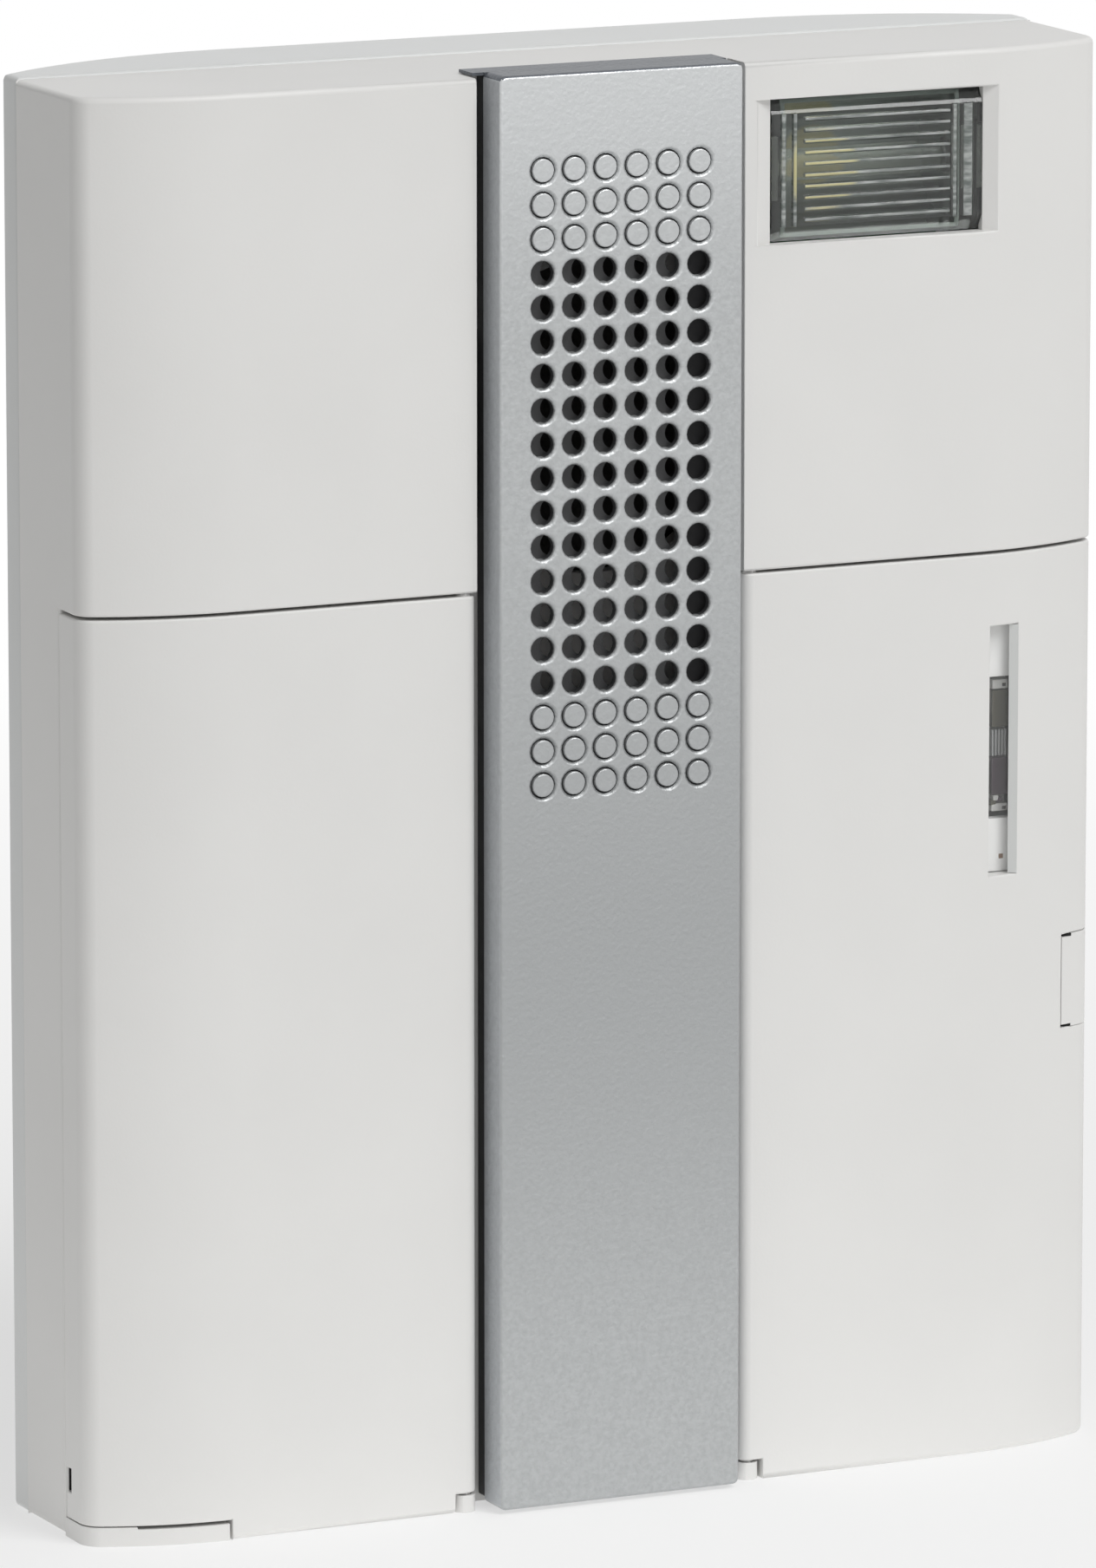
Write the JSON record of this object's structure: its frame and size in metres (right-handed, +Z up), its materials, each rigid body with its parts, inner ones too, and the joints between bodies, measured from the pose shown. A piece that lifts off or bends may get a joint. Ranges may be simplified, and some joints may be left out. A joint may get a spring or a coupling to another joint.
{
  "type": "doorbell chime box",
  "caption": "Slim wall-mounted door chime: off-white shell with a perforated silver centre strip, flash window, two hinged doors with latches, loudspeaker, cells and circuit boards inside.",
  "frame": {"origin": "on the wall plane, at the middle of the body's width and height", "axes": "+Z up, +Y into the wall, +X to the viewer's right; the front faces -Y"},
  "size_m": [0.139, 0.041, 0.1805],
  "materials": {
    "white_shell": "fine-textured off-white moulded plastic",
    "rear_shell": "fine-textured off-white moulded plastic, a shade greyer",
    "silver_strip": "silver satin paint on a plastic moulding",
    "speaker_cloth": "black open-weave speaker cloth",
    "clear_lens": "clear ribbed plastic",
    "bright_reflector": "bright polished sheet",
    "lamp_glass": "clear glass",
    "ivory_plastic": "ivory moulded plastic",
    "circuit_board": "green solder mask",
    "capacitor_sleeve": "dark blue shrink sleeve",
    "coil_tape": "amber winding tape",
    "black_plastic": "black moulded plastic",
    "grey_metal_part": "dull plated steel can",
    "lamp_cap": "dark olive lamp cap",
    "white_knob": "white moulded plastic",
    "orange_button": "orange moulded plastic",
    "green_block": "green moulded plastic",
    "plated_steel": "bright nickel plate",
    "basket_steel": "zinc-grey pressed sheet",
    "magnet_iron": "dark sintered magnet with a plated cover",
    "cone_paper": "black pressed paper",
    "cone_surround": "black rolled edge",
    "cell_sleeve": "plain grey printed sleeve with bright ends",
    "wire_cover": "red and black wire insulation"
  },
  "bodies": {
    "housing": {"front_housing": "white_shell", "rear_housing": "rear_shell", "trim_strip": "silver_strip", "grille_cloth": "speaker_cloth", "flash_lens": "clear_lens", "flash_reflector": "bright_reflector", "flash_tube": "lamp_glass", "flash_holder": "ivory_plastic", "flash_board": "circuit_board", "main_board": "circuit_board", "flash_capacitor": "capacitor_sleeve", "filter_capacitors": "capacitor_sleeve", "flash_transformer": "coil_tape", "trigger_coil": "black_plastic", "sound_chip": "black_plastic", "melody_switch": "black_plastic", "flash_switch": "black_plastic", "lamp_unit": "grey_metal_part", "volume_pot": "grey_metal_part", "indicator_lamps": "lamp_cap", "terminal_block": "green_block", "terminal_screws": "plated_steel", "battery_springs": "plated_steel", "battery_link": "plated_steel", "battery_plates": "plated_steel", "housing_screws": "plated_steel", "board_screws": "plated_steel", "speaker_screws": "plated_steel", "speaker_basket": "basket_steel", "speaker_magnet": "magnet_iron", "speaker_surround": "cone_surround", "battery_cells": "cell_sleeve", "battery_leads": "wire_cover", "speaker_leads": "wire_cover"},
    "left_door": {"left_door": "white_shell"},
    "right_door": {"right_door": "white_shell", "indicator_window": "clear_lens"},
    "left_latch": {"left_latch": "white_shell"},
    "right_latch": {"right_latch": "white_shell"},
    "volume_dial": {"volume_dial": "white_knob"},
    "melody_button": {"melody_button": "orange_button"},
    "flash_slider": {"flash_slider": "white_knob"},
    "speaker_cone": {"speaker_cone": "cone_paper"}
  },
  "joints": [
    {"name": "left_door_hinge", "type": "hinge", "parent": "housing", "child": "left_door", "pos_m": [-0.0196, -0.0366, 0], "axis": [0, 0, 1], "range_deg": [0, 100]},
    {"name": "right_door_hinge", "type": "hinge", "parent": "housing", "child": "right_door", "pos_m": [0.0196, -0.0366, 0], "axis": [0, 0, -1], "range_deg": [0, 100]},
    {"name": "left_latch_flex", "type": "hinge", "parent": "housing", "child": "left_latch", "pos_m": [-0.06, -0.0209, -0.08895], "axis": [1, 0, 0], "range_deg": [0, 5], "stiffness_Nm_per_rad": 0.5},
    {"name": "right_latch_press", "type": "slide", "parent": "housing", "child": "right_latch", "axis": [0, 1, 0], "range_m": [0, 0.0012], "stiffness_N_per_m": 800},
    {"name": "volume_dial_turn", "type": "hinge", "parent": "housing", "child": "volume_dial", "pos_m": [0.03465, -0.0236, 0.005], "axis": [0, -1, 0], "range_deg": [-135, 135]},
    {"name": "melody_button_press", "type": "slide", "parent": "housing", "child": "melody_button", "axis": [0, 1, 0], "range_m": [0, 0.0008], "stiffness_N_per_m": 400},
    {"name": "flash_slider_shift", "type": "slide", "parent": "housing", "child": "flash_slider", "axis": [0, 0, 1], "range_m": [-0.002, 0.002]},
    {"name": "speaker_cone_stroke", "type": "slide", "parent": "housing", "child": "speaker_cone", "axis": [0, 1, 0], "range_m": [-0.0006, 0.0006], "stiffness_N_per_m": 1500}
  ]
}
